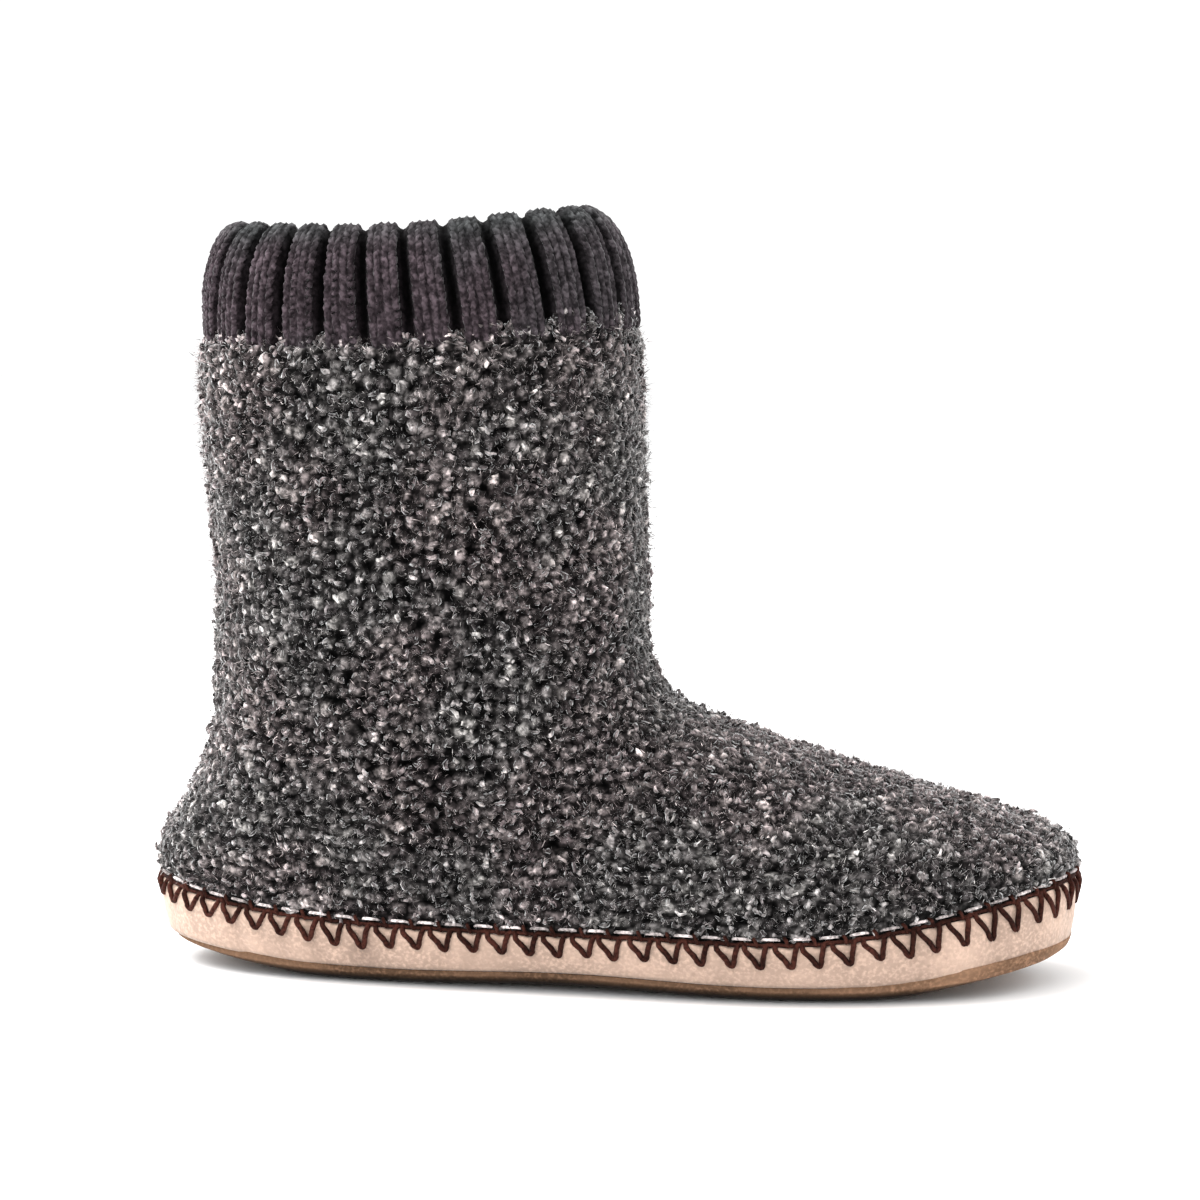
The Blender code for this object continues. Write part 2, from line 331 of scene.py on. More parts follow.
def suede(name, colour, pale, dark, velvet):
    """Napped leather: brushed patches, fine pores and a soft velvet edge."""
    pale, dark = times(colour, pale), times(colour, dark)
    material, shader, place = new_material(name, 0.88, velvet, (1.0, 0.93, 0.86))
    shader.inputs["Specular IOR Level"].default_value = 0.5 * velvet
    brushed = noise(material, place, 7 * MM, 4.0, (1.6, 1.6, 0.8))
    nap = noise(material, place, 0.55 * MM, 4.0)
    pores = noise(material, place, 1.6 * MM, 2.0)
    ground = blend(material, brushed, 0.34, 0.66, dark, colour)
    ground = blend(material, nap, 0.40, 0.72, ground, pale)
    ground = blend(material, pores, 0.64, 0.76, ground, dark)
    relief = ((brushed, 0.9 * MM), (pores, 0.45 * MM), (nap, 0.22 * MM))
    return finished(material, shader, dyed_and_shaded(material, ground), relief)


sole_walk = thinned(walk_round("outsole", 9.8 * MM, 2.6 * MM), 3)
x_on_sole = sole_walk.plan[:, 0]
sole_tables = (TURNED_UP, ENDS_THIN, ENDS_PARED, ENDS_REACH)
turned_up, thin, pared, reach = (along_shoe(table, x_on_sole) for table in sole_tables)
lip_out = turned_up * np.interp(x_on_sole, (0.090, 0.110), (0.25, 0.62))
top_of_edge = SOLE_EDGE[-1][1]
top_of_sole = sole_walk.high - SETTLED
sole_rings = []
for inset, rise, sole_shade in SOLE_EDGE:
    lifted = sole_walk.low + rise + thin * (1 - rise / top_of_edge) + pared
    sole_rings.append(ring(sole_walk, inset - reach * rise / top_of_edge, lifted))
sole_rings += [
    ring(sole_walk, -0.6 * lip_out - reach, top_of_sole - 0.1 * MM + 0.3 * turned_up),
    ring(sole_walk, -lip_out - reach, top_of_sole + turned_up),
    ring(sole_walk, 0.3 * MM - reach, top_of_sole + 1.1 * turned_up),
    ring(sole_walk, OUTSOLE_EDGE - reach, top_of_sole),
]
underside = [shrunk(sole_rings[0], share) for share in (0.9, 0.6, 0.3, 0.12)]
sole_points, sole_faces = plate(underside + sole_rings)
sole_suede = suede("outsole_suede", OUTSOLE_TAN, pale=1.3, dark=0.6, velvet=0.05)
outsole = new_piece(
    "outsole_suede_sheet", sole_points, sole_faces, sole_suede, "outsole"
)
# Painted shade: the contact shadow on each ring, fading at the lifted ends, times painted shade
# along the sole, darker in the middle under the band's bulge and paler towards the toe.
sole_shade = np.array([*UNDERSIDE_SHADE, *(row[2] for row in SOLE_EDGE), *LIP_SHADE])
shadow_fade = np.interp(np.abs(x_on_sole), (0.095, 0.138), (0.0, SHADOW_FADE))
shade_along_sole = np.interp(x_on_sole, (-0.095, -0.060, 0.060, 0.095), (0.80, 0.72, 0.72, 1.25))
painted(outsole, (sole_shade[:, None] + (1 - sole_shade[:, None]) * shadow_fade) * shade_along_sole)

# ---- Footbed ----
# A loose pad of foam under dark fleece, crowned a little under the arch and flat at its edge.
# It is cut to the outline of the foot, and lies on the sole inside the band and the upper.
FOOTBED_GREY = (0.075, 0.070, 0.072)
FOOTBED_CROWN = 0.8 * MM
FOOTBED_EDGE = 1.6 * MM  # how far its edge rounds in
# Its side: depth inside its outline, and share of its thickness
FOOTBED_SIDE = ((0.2 * MM, 0.3), (0, 0.65), (0.5 * MM, 0.88), (FOOTBED_EDGE, 1.0))

footbed_walk = thinned(walk_round("insole", 3.0 * MM, 3.0 * MM), 3)


def fleece(name, colour, sheen):
    """Short brushed fleece: soft clumps with paler tips."""
    material, shader, place = new_material(name, 0.95, sheen)
    shader.inputs["Specular IOR Level"].default_value = 0.03
    clumps = noise(material, place, 2.2 * MM, 4.0)
    fibres = noise(material, place, 0.6 * MM, 3.0)
    ground = blend(material, clumps, 0.35, 0.65, times(colour, 0.45), colour)
    ground = blend(material, fibres, 0.5, 0.75, ground, times(colour, 2.0))
    return finished(material, shader, ground, ((clumps, 1.6 * MM), (fibres, 0.5 * MM)))


def footbed_ring(inset, share, rise, crown):
    """One ring of the pad: its height is a share of its thickness, plus a crown."""
    thick = footbed_walk.high - footbed_walk.low
    height = footbed_walk.low + thick * rise + crown * FOOTBED_CROWN
    return shrunk(ring(footbed_walk, inset, height), share)


pad_rings = [footbed_ring(1.0 * MM, share, 0.0, 0) for share in (0.9, 0.5, 0.15, 0)]
pad_rings += [footbed_ring(inset, 0, rise, 0) for inset, rise in FOOTBED_SIDE]
for share in (0.1, 0.25, 0.45, 0.65, 0.82, 0.94):
    pad_rings.append(footbed_ring(FOOTBED_EDGE, share, 1.0, np.sin(share * np.pi / 2)))
pad_points, pad_faces = plate(pad_rings)
pad_fleece = fleece("footbed_fleece", FOOTBED_GREY, 0.5)
footbed = new_piece("footbed_pad", pad_points, pad_faces, pad_fleece, "insole")

# ---- Upper: ground knit and lining ----
# One hollow boot of loop knit, backed with fleece. The ground is painted nearly black as
# painted shade, and shows only as the shadow between the loops of yarn. Worn creases cross the
# front of the ankle.
GROUND_SHADOW_BLACK = (0.006, 0.005, 0.006)
LINING_GREY = (0.060, 0.056, 0.058)
PILE = 1.6 * MM  # how far the ground lies inside the face of the nubs
# The line of foot and leg inside it, from the toes up to the calf
BONES = ((0.100, 0.003, 0.028), (0.0, -0.002, 0.045), (-0.057, 0.0, 0.060), (-0.057, 0.0, 0.200))

# Creases, in metres: the middle of each fold, which way it runs, its length, width and depth
CREASES = (
    ((0.0175, -0.004, 0.1010), (0.0, 1.0, -0.05), 0.060, 0.0085, 0.0022),
    ((0.0190, 0.002, 0.0905), (0.1, 1.0, 0.08), 0.066, 0.0060, -0.0011),
    ((-0.012, -0.044, 0.0930), (1.0, 0.2, 0.42), 0.055, 0.0120, 0.0011),
    ((-0.048, -0.046, 0.1240), (1.0, 0.0, -0.22), 0.080, 0.0160, 0.0009),
    ((-0.085, -0.043, 0.1480), (1.0, 0.1, 0.15), 0.070, 0.0150, 0.0008),
    ((-0.120, -0.012, 0.0730), (0.0, 1.0, 0.25), 0.060, 0.0110, 0.0010),
)


def bell(away, width):
    """One in the middle, falling off smoothly to both sides over some width."""
    return np.exp(-((away / width) ** 2))


def creased(points):
    """How far the creases pull the points in."""
    depth = np.zeros(len(points))
    for middle, run, length, width, deep in CREASES:
        away = points - np.array(middle)
        along = away @ unit(np.array(run))
        across = np.sqrt(np.maximum((away**2).sum(1) - along**2, 0))
        depth += deep * bell(2 * along, length) * bell(across, width)
    return depth


def faces_outwards(points, normals):
    """Whether points of the boot's wall are on its outer side, away from the foot and leg."""
    nearest = np.full(len(points), np.inf)
    outer = np.zeros(len(points), bool)
    for start, end in zip(np.array(BONES[:-1]), np.array(BONES[1:])):
        run = end - start
        share = np.clip((points - start) @ run / (run @ run), 0, 1)
        away = points - (start + share[:, None] * run)
        distance = np.linalg.norm(away, axis=1)
        closer = distance < nearest
        nearest = np.where(closer, distance, nearest)
        outer = np.where(closer, (away * normals).sum(1) > 0, outer)
    return outer


def boot_skin(levels):
    """The skin of the upper's solid, paired up into quads, subdivided and creased.

    Gives its points, normals and faces, and whether each point is on the outer side.
    """
    build = bmesh.new()
    build.from_mesh(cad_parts["upper"].data)
    bmesh.ops.remove_doubles(build, verts=build.verts, dist=0.002 * MM)
    bmesh.ops.join_triangles(
        build, faces=build.faces, angle_face_threshold=np.pi, angle_shape_threshold=np.pi
    )
    rough = bpy.data.meshes.new("boot_skin")
    build.to_mesh(rough)
    build.free()
    holder = placed("boot_skin", rough)
    rounding = holder.modifiers.new("rounding", "SUBSURF")
    rounding.levels = rounding.render_levels = levels
    rounded = holder.evaluated_get(bpy.context.evaluated_depsgraph_get())
    smooth = bpy.data.meshes.new_from_object(rounded)
    bpy.data.objects.remove(holder)
    points = np.array([v.co for v in smooth.vertices])
    normals = np.array([v.normal for v in smooth.vertices])
    outer = faces_outwards(points, normals)
    points -= normals * (creased(points) * outer)[:, None]
    return points, normals, [list(f.vertices) for f in smooth.polygons], outer


boot_points, boot_normals, boot_faces, boot_outer = boot_skin(1)
outer_faces = [f for f in boot_faces if boot_outer[f].all()]
ground_points = boot_points - boot_normals * (PILE * boot_outer)[:, None]

ground_knit = fleece("ground_knit", GROUND_SHADOW_BLACK, 0.0)
ground = new_piece(
    "ground_knit_boot", ground_points, boot_faces, ground_knit, "upper"
)
ground.data.materials.append(fleece("lining_fleece", LINING_GREY, 0.5))
for polygon in ground.data.polygons:
    polygon.material_index = 0 if boot_outer[list(polygon.vertices)].all() else 1

# ---- Upper: boucle knit ----
# Soft yarn of several fine plies, spun with curls that stand off the ground in close round nubs.
# Most curls are charcoal, some are grey and a few are nearly white, under a thin soft fuzz.
NUB_CELL = 4.3 * MM  # one nub for each cube of space that the knit passes through
NUB_GAP = 4.5 * MM  # nubs nearer than this push each other away
NUB_REACH = 2.7 * MM  # from the middle of a nub to where it meets the next
NUB_RISE = (1.0 * MM, 2.0 * MM)  # how far a nub stands over the dips between nubs
NUB_MIDDLE = sum(NUB_RISE) / 2  # the pile stands this far out, half inside the solid's skin
NUB_TRIES = 130000  # random places, of which each cell keeps one
NUB_ROUNDS = 8  # of pushing each other away
NUB_SHADES = np.array(
    ((0.080, 0.071, 0.072), (0.15, 0.137, 0.136), (0.245, 0.227, 0.224), (0.38, 0.357, 0.345))
)
NUB_SHARES = (0.26, 0.38, 0.26, 0.10)
PILE_FOOT = 0.8 * MM  # the lowest nubs, above the band's top edge
PRESSED = 4.0 * MM  # the pile is held flat by the stitches up to here
CURLS = 3  # on each nub
CURL_PARTS = 3  # the curls are one mesh for each part, from the sole up
CURL_THICK = (0.46 * MM, 0.84 * MM)  # radius of the yarn
CURL_ROUND = (0.9 * MM, 1.9 * MM)  # radius of the curl itself
CURL_TURN = (1.1, 3.0)  # how far a curl goes round, in radians
CURL_STEPS = 4
CURL_WAVER = 0.16 * MM
CURL_ASIDE = 0.75 * MM  # from the middle of its nub
CURL_START = (-0.6 * MM, 0.2 * MM)  # under or over the top of its nub
CURL_TILT = 0.5
CURL_SIDES = 3
FACE_PAINTED_SHADE = 0.48  # painted shade: the face under the curls is painted darker than they are
# The colour of the painted highlight on a curl's crown
YARN_HIGHLIGHT = np.array((0.72, 0.69, 0.67))
HIGHLIGHTED_SHARE = 0.06  # the share of the curls that have a painted highlight on their crown
PALEST = NUB_SHADES[-1]  # no curl is dyed paler than this
FUZZ = 22  # single fibres on each nub
FUZZ_ROOTS = 0.9 * MM  # from the middle of its nub
FUZZ_TILT = 0.75
FUZZ_LONG = (1.0 * MM, 2.6 * MM)
FUZZ_WIDE = (0.07 * MM, 0.34 * MM)  # a few are loose plies
FUZZ_GREY = np.array((0.25, 0.235, 0.23))

chance = np.random.default_rng(7)


def between(limits, count):
    """Random values between two limits."""
    return chance.uniform(*limits, count)


def scattered(points, normals, faces, tries):
    """Even random places on the four-sided faces of a skin, with their normals."""
    faces = np.array(faces)
    triangles = np.concatenate([faces[:, [0, 1, 2]], faces[:, [0, 2, 3]]])
    a, b, c = (points[triangles[:, i]] for i in range(3))
    area = np.linalg.norm(np.cross(b - a, c - a), axis=1)
    picked = chance.choice(len(triangles), tries, p=area / area.sum())
    u, v = chance.random(tries), chance.random(tries)
    over = u + v > 1
    u, v = np.where(over, 1 - u, u), np.where(over, 1 - v, v)
    weights = np.stack([1 - u - v, u, v], -1)[..., None]
    places = (points[triangles[picked]] * weights).sum(1)
    return places, unit((normals[triangles[picked]] * weights).sum(1))


def kd_tree(places):
    """A search tree over some places."""
    tree = KDTree(len(places))
    for index, place in enumerate(places):
        tree.insert(place, index)
    tree.balance()
    return tree


def spread_out(places, normals, gap, rounds):
    """Moves places that crowd each other apart, along the skin."""
    for _ in range(rounds):
        tree = kd_tree(places)
        moved = np.zeros_like(places)
        for index, place in enumerate(places):
            for near, _, distance in tree.find_range(place, gap):
                if distance > 0:
                    moved[index] += (place - near) / distance * (gap - distance) * 0.35
        moved -= normals * (moved * normals).sum(1, keepdims=True)
        places = places + moved
    return places


def above_band(points):
    """How far each point lies above the top edge of the band next to it."""
    tree = kd_tree(np.column_stack([band_walk.plan, np.zeros(STATIONS)]))
    nearest = [tree.find((x, y, 0))[1] for x, y, _ in points]
    return points[:, 2] - band_walk.high[nearest]


def tubes(name, paths, radii, sides, material):
    """A piece of many tubes from (tube, step, 3) paths and (tube, step) radii, and its points."""
    count, steps, _ = paths.shape
    tangent = unit(np.gradient(paths, axis=1))
    first = np.cross(tangent, tangent[:, :1] + (0.31, 0.17, 0.93))
    side = unit(first - tangent * (first * tangent).sum(-1, keepdims=True))
    other = np.cross(tangent, side)
    turn = np.arange(sides) * 2 * np.pi / sides
    around = side[:, :, None] * np.cos(turn)[:, None] + other[:, :, None] * np.sin(turn)[:, None]
    points = (paths[:, :, None] + around * radii[:, :, None, None]).reshape(-1, 3)
    tube = np.arange(count)[:, None, None] * steps * sides
    step = np.arange(steps - 1)[None, :, None] * sides
    corner = np.arange(sides)[None, None, :]
    below = tube + step + corner
    beside = tube + step + (corner + 1) % sides
    faces = np.stack([below, beside, beside + sides, below + sides], -1).reshape(-1, 4)
    cell = (steps - 1, sides) if count > 1 else None
    return fast_piece(name, points, faces, material, cell), points


def fast_piece(name, points, faces, material, cell=None):
    """A smooth piece of very many faces, which all have the same number of corners.

    A piece of many small tubes gives its cell, the steps and sides of one tube, and then has
    a texture map with a small square for each tube.
    """
    mesh = bpy.data.meshes.new(name)
    mesh.vertices.add(len(points))
    mesh.vertices.foreach_set("co", points.astype(np.float32).ravel())
    mesh.loops.add(faces.size)
    mesh.loops.foreach_set("vertex_index", faces.astype(np.int32).ravel())
    mesh.polygons.add(len(faces))
    starts = np.arange(len(faces), dtype=np.int32) * faces.shape[1]
    mesh.polygons.foreach_set("loop_start", starts)
    mesh.update(calc_edges=True)
    if cell:
        across = int(np.ceil(np.sqrt(len(faces) / np.prod(cell))))
        tube, step, side = np.unravel_index(np.arange(len(faces)), (across**2, *cell))
        corner = np.array([(0, 0), (0, 1), (1, 1), (1, 0)])[: faces.shape[1]]
        spot = (np.stack([step, side], -1)[:, None] + corner) / cell * 0.8 + 0.1
        spot = (spot + np.stack([tube % across, tube // across], -1)[:, None]) / across
        layer = mesh.uv_layers.new(name="OFBake")
        layer.data.foreach_set("uv", spot.astype(np.float32).ravel())
    mesh.validate()
    return fitted(name, mesh, material)


def lighter(material, colour, share, low, high, least, most):
    """A colour made darker or paler: times least at a low share, times most at a high one."""
    sockets = {0: colour, "Scale": eased(material, share, low, high, least, most)}
    return node(material, "VectorMath", sockets, operation="SCALE").outputs[0]


def yarn(name, roughness, sheen, flecks, patches):
    """Dyed yarn: each stitch's painted colour and shade, with paler flecks, dark plies, uneven
    dyeing.
    """
    material, shader, place = new_material(name, roughness, sheen)
    shader.inputs["Specular IOR Level"].default_value = 0.03
    shader.inputs["Sheen Roughness"].default_value = 0.3
    curls = noise(material, place, 1.15 * MM, 1.0)
    plies = noise(material, place, 0.62 * MM, 1.0)
    uneven = noise(material, place, 22 * MM, 1.0)
    colour = dyed_and_shaded(material, blend(material, uneven, 0.42, 0.58, *patches))
    colour = lighter(material, colour, curls, 0.38, 0.62, *flecks)
    colour = lighter(material, colour, plies, 0.36, 0.62, 0.6, 1.3)
    return finished(material, shader, colour, ((curls, 0.5 * MM), (plies, 0.3 * MM)))


band_walk = walk_round("sidewall", 5.6 * MM, 0.9 * MM)
nubs, leans = scattered(boot_points, boot_normals, outer_faces, NUB_TRIES)
cells = np.floor(nubs / NUB_CELL).astype(int)
kept = np.unique(cells, axis=0, return_index=True)[1]
nubs, leans = nubs[kept], leans[kept]
nubs = spread_out(nubs, leans, NUB_GAP, NUB_ROUNDS)
clear = above_band(nubs)
flat = np.clip(clear / PRESSED, 0.25, 1)
rises = between(NUB_RISE, len(nubs)) * flat
shades = NUB_SHADES[chance.choice(len(NUB_SHADES), len(nubs), p=NUB_SHARES)]
shades = shades * chance.lognormal(0, 0.25, (len(nubs), 1))
toe_shade_mask = np.interp(nubs[:, :1], (0.04, 0.12), (0, 1))  # how near the toe, where the knit is painted darker as painted shade
# Painted shade: the knit is a little darker where it faces up, and darker towards the toe.
shades *= 0.92 - 0.04 * leans[:, 2:].clip(0, 1) - 0.12 * toe_shade_mask
boucle_dyes = ((1.07, 0.98, 0.985), (0.99, 1.00, 0.995))
boucle = yarn("boucle_yarn", 0.95, 1.0, (0.28, 1.85), boucle_dyes)

# The face of the knit: the skin of the boot, swollen at every nub, with painted shade that darkens
# it under the curls, low down and between the nubs.
face_points, face_normals, face_faces, face_outer = boot_skin(3)
face_faces = np.array([f for f in face_faces if face_outer[f].all()])
used, face_faces = np.unique(face_faces, return_inverse=True)
face_points, face_normals = face_points[used], face_normals[used]
nub_tree = kd_tree(nubs)
nearest = [nub_tree.find_n(point, 2) for point in face_points]
first, second = np.array([[found[0][1], found[1][1]] for found in nearest]).T
apart = np.array([[found[0][2], found[1][2]] for found in nearest])
dome = np.sqrt(np.clip(1 - (apart / NUB_REACH) ** 2, 0, 1))
higher = (dome * np.stack([rises[first], rises[second]], 1)).max(1)
face_points = face_points + face_normals * (higher - NUB_MIDDLE + 0.1 * MM)[:, None]
share = np.clip((apart[:, 1] - apart[:, 0]) / (1.0 * MM), 0, 1)[:, None] * 0.5 + 0.5
dyes_and_shade = shades[first] * share + shades[second] * (1 - share)
tall = 0.5 * higher / NUB_RISE[1] + 0.5 * higher / rises[first]
open_to_light = np.interp(tall, (0.3, 0.6, 0.95), (0.01, 0.2, 1.2))
face_faces = face_faces.reshape(-1, 4)
face = fast_piece("boucle_face", face_points, face_faces, boucle)
shade_between_nubs = np.interp((apart[:, 1] - apart[:, 0]) / MM, (0.0, 0.7, 2.0), (0.15, 0.55, 1.0))
painted(face, FACE_PAINTED_SHADE * dyes_and_shade * (open_to_light * shade_between_nubs)[:, None])


def curls_over(name, middles, ways, rises, shades):
    """A piece of curls of yarn, little hooks and rings lying over nubs at every angle."""
    middles, ways, shades = (np.repeat(each, CURLS, axis=0) for each in (middles, ways, shades))
    rises, count = np.repeat(rises, CURLS), len(middles)
    aside = chance.normal(0, CURL_ASIDE, (count, 3))
    roots = middles + aside - ways * (aside * ways).sum(1, keepdims=True)
    step = np.linspace(-1, 1, CURL_STEPS + 1)[None, :]
    axis = unit(ways + chance.normal(0, CURL_TILT, (count, 3)))
    across = unit(np.cross(axis, chance.normal(0, 1, (count, 3))))
    beside = np.cross(axis, across)
    angle = between(CURL_TURN, count)[:, None] * step / 2
    size = between(CURL_ROUND, count)[:, None] * (1 + 0.12 * step * chance.normal(0, 1, (count, 1)))
    paths = across[:, None] * (size * (np.cos(angle) - 0.35))[..., None]
    paths += beside[:, None] * (size * np.sin(angle))[..., None]
    paths -= axis[:, None] * (0.45 * MM * step**2)[..., None]
    start = rises - NUB_MIDDLE + between(CURL_START, count)
    paths += (roots + ways * start[:, None])[:, None]
    paths += chance.normal(0, CURL_WAVER, paths.shape)
    thick = between(CURL_THICK, count)[:, None] * (1 - 0.5 * step**4)
    thick = thick * (1 + chance.normal(0, 0.14, thick.shape)).clip(0.7, 1.3)
    piece, points = tubes(name, paths, thick, CURL_SIDES, boucle)
    shade = (shades * chance.lognormal(0.03, 0.45, (count, 1)).clip(0.4, 2.1)).clip(0, PALEST)
    # A few curls get a painted highlight round a random place along them.
    top = chance.uniform(-0.5, 0.5, (count, 1))
    highlighted = (chance.random((count, 1)) < HIGHLIGHTED_SHARE) * bell(step - top, 0.3)
    dyes_and_shade = shade[:, None] + (YARN_HIGHLIGHT - shade[:, None]).clip(0) * highlighted[..., None] * 0.3
    dyes_and_shade = np.repeat(dyes_and_shade.reshape(-1, 3), CURL_SIDES, axis=0)
    # Painted light and shade: darker low down and far from the nub's middle, paler at its top.
    corners = points.reshape(count, -1, 3) - (middles + ways * rises[:, None])[:, None]
    tall = (corners * ways[:, None]).sum(-1)
    wide = np.linalg.norm(corners - tall[..., None] * ways[:, None], axis=-1)
    open_to_light = np.interp(tall.ravel() / MM, (-2.4, -1.5, -0.7, 0.1), (0.06, 0.33, 0.98, 1.22))
    open_to_light *= np.interp(wide.ravel() / MM, (0.8, 1.8, 3.0), (1.22, 1.0, 0.55))
    painted(piece, dyes_and_shade * open_to_light[:, None])


order = np.argsort(nubs[:, 2] + 0.15 * nubs[:, 0])
order = order[clear[order] > PILE_FOOT]
for part, chosen in enumerate(np.array_split(order, CURL_PARTS)):
    name = f"boucle_curls_{part + 1}"
    curls_over(name, nubs[chosen], leans[chosen], rises[chosen], shades[chosen])

# Single fibres that stand off the nubs, painted dark at their roots and pale at their tips as
# painted shade and light.
loose = np.repeat(order[clear[order] > PRESSED], FUZZ)
roots = nubs[loose] + chance.normal(0, FUZZ_ROOTS, (len(loose), 3))
lean = unit(leans[loose] + chance.normal(0, FUZZ_TILT, (len(loose), 3)))
tips = roots + lean * between(FUZZ_LONG, len(loose))[:, None]
wide = FUZZ_WIDE[0] + (FUZZ_WIDE[1] - FUZZ_WIDE[0]) * chance.random((len(loose), 1)) ** 4
beside = unit(np.cross(lean, chance.normal(0, 1, (len(loose), 3)))) * wide / 2
points = np.stack([roots - beside, roots + beside, tips], 1).reshape(-1, 3)
faces = np.arange(len(points)).reshape(-1, 3)
fuzz = fast_piece("boucle_fuzz", points, faces, boucle, (1, 1))
grey = FUZZ_GREY * chance.lognormal(0, 0.5, (len(roots), 1)).clip(0.3, 2.5)
# Painted shade and light: each fibre is dark at its root and pale at its tip.
painted(fuzz, np.stack([0.5 * grey, 0.5 * grey, 1.8 * grey], 1).reshape(-1, 3))

# ---- Band ----
# One strip of peach suede round the whole shoe. It is drawn in under the foot, bulges over the
# edge of the last, and its cut top edge lies against the knit, puckered by the whip stitch.
BAND_PEACH = (0.475, 0.340, 0.268)
STITCH_PITCH = 8.6 * MM
PUCKER = 0.22 * MM  # how far the stitches draw it in and let it out
HOLE_DEPTH = 0.55 * MM
# From the band's top edge down to the holes of the whip stitch, from the heel to the toe, in
# millimetres
STITCH_DROP = (
    ((-140, 4.8), (-100, 5.1), (-75, 6.3), (-50, 5.3))
    + ((40, 5.6), (85, 5.9), (108, 7.6), (140, 8.0))
)
# Section of the band: depth inside its outline, and share of its height from foot to top edge
BAND_OUTSIDE = (
    ((4.6 * MM, 0.00), (3.7 * MM, 0.10), (2.7 * MM, 0.25), (1.7 * MM, 0.43), (0.8 * MM, 0.62))
    + ((0.2 * MM, 0.79), (0.0 * MM, 0.89), (0.25 * MM, 0.97), (0.8 * MM, 1.00))
)
BAND_INSIDE = ((1.6 * MM, 1.00), (2.1 * MM, 0.95), (2.7 * MM, 0.70), (6.4 * MM, 0.02))
BAND_RINGS = 18  # rings up the outside

stitch_count = round(band_walk.girth / STITCH_PITCH)
pitch = band_walk.girth / stitch_count


def band_height(along, rise):
    """The height of the band's outside at some share of the way from its foot to its top edge."""
    foot = round_loop(band_walk.low, band_walk, along) - SETTLED
    return foot + rise * (round_loop(band_walk.high, band_walk, along) - foot)


def band_inset(rise):
    """How far inside its outline the band's outside lies there."""
    insets, rises = zip(*BAND_OUTSIDE)
    return np.interp(rise, rises, insets)


def stitch_places(seed, spread):
    """The distance along the band of each whip stitch's hole, with the unevenness of handwork."""
    uneven = np.random.default_rng(seed).normal(0, spread, stitch_count)
    return (np.arange(stitch_count) + 0.5) * pitch + uneven


hole_along = stitch_places(3, 0.22 * MM)
x_at_hole = round_loop(band_walk.plan, band_walk, hole_along)[:, 0]
hole_drop = along_shoe(STITCH_DROP, x_at_hole)
hole_drop += np.random.default_rng(4).normal(0, 0.22 * MM, stitch_count)
BAND_COLUMNS = stitch_count * 11


def puckered(along, drop, loose):
    """How far the suede stands out where the thread doesn't hold it down, and in at each hole."""
    half_way = band_walk.girth / 2
    apart = np.abs(np.mod(along[:, None] - hole_along + half_way, band_walk.girth) - half_way)
    nearest = np.argmin(apart, axis=1)
    away = apart[np.arange(len(along)), nearest]
    hole = bell(away, 1.3 * MM) * bell(drop - hole_drop[nearest], 1.2 * MM)
    between_arms = np.cos(away / pitch * 2 * np.pi) * bell(drop, 5.5 * MM)
    return loose - HOLE_DEPTH * hole - PUCKER * between_arms


along = np.arange(BAND_COLUMNS) * band_walk.girth / BAND_COLUMNS
plan, outward = spots(band_walk, along)
slow = soften(np.random.default_rng(5).normal(0, 1, BAND_COLUMNS), 16)
quick = soften(np.random.default_rng(6).normal(0, 1, BAND_COLUMNS), 3)
slow, quick = slow / slow.std(), quick / quick.std()
rises = [rise for _, rise in BAND_OUTSIDE]
rises = np.interp(np.linspace(0, len(rises) - 1, BAND_RINGS), range(len(rises)), rises)
fuller = np.interp(plan[:, 0], (-0.132, -0.105, 0.095, 0.130), (0.5, 1.0, 1.0, 0.45))
band_rings, band_painted_shade = [], []
for rise in rises:
    height = band_height(along, rise)
    drop = band_height(along, 1.0) - height
    body = np.sin(np.pi * min(rise, 0.95) ** 0.8)
    loose = (0.16 * slow + 0.17 * quick) * MM * body
    stand = puckered(along, drop, loose) if rise > 0.05 else loose
    inset = band_inset(rise) * fuller - stand
    edge = 0.25 * MM * np.cos(2 * np.pi * along / pitch) * (rise > 0.93)
    band_rings.append(np.column_stack([plan - outward * inset[:, None], height + edge]))
    # Painted shade: darker at the band's foot, in the dips of its wrinkles and where the thread
    # presses it in at the holes.
    shadow_at_foot = np.interp(rise, (0, 0.09, 0.3), (0.6, 0.92, 1.0))
    band_painted_shade.append(shadow_at_foot * (1 + 0.035 * quick) * (1 + 0.3 * (stand / MM).clip(-1, 0)))
for inset, rise in BAND_INSIDE:
    inside = plan - outward * (inset * fuller)[:, None]
    band_rings.append(np.column_stack([inside, band_height(along, rise)]))
    band_painted_shade.append(np.ones(BAND_COLUMNS))
band_faces = quads_between(len(band_rings), BAND_COLUMNS, closed=True)
band_suede = suede("band_suede", BAND_PEACH, pale=1.2, dark=0.78, velvet=0.35)
band_points = np.concatenate(band_rings)
band = new_piece("suede_band", band_points, band_faces, band_suede, "sidewall")
painted(band, np.concatenate(band_painted_shade))

# ---- Whip stitch ----
# Dark brown waxed thread in slanting Vs. It comes out of a hole in the band, runs up over the
# top edge on both sides of it, and every stitch is locked into the knit above.
THREAD_BROWN = (0.038, 0.0122, 0.0086)
THREAD_RADIUS = 0.80 * MM
THREAD_SIDES = 6
PLY_SWELL = 0.07  # how much thicker it is where a ply crosses it
V_WIDTH = 5.8 * MM  # across the top of one V
BAR_RADIUS = 0.55 * MM
BAR_ABOVE = 0.75 * MM  # the thread along the seam, above the band's top edge
BAR_WAVER = 0.12 * MM
BAR_PROUD = 0.4 * MM
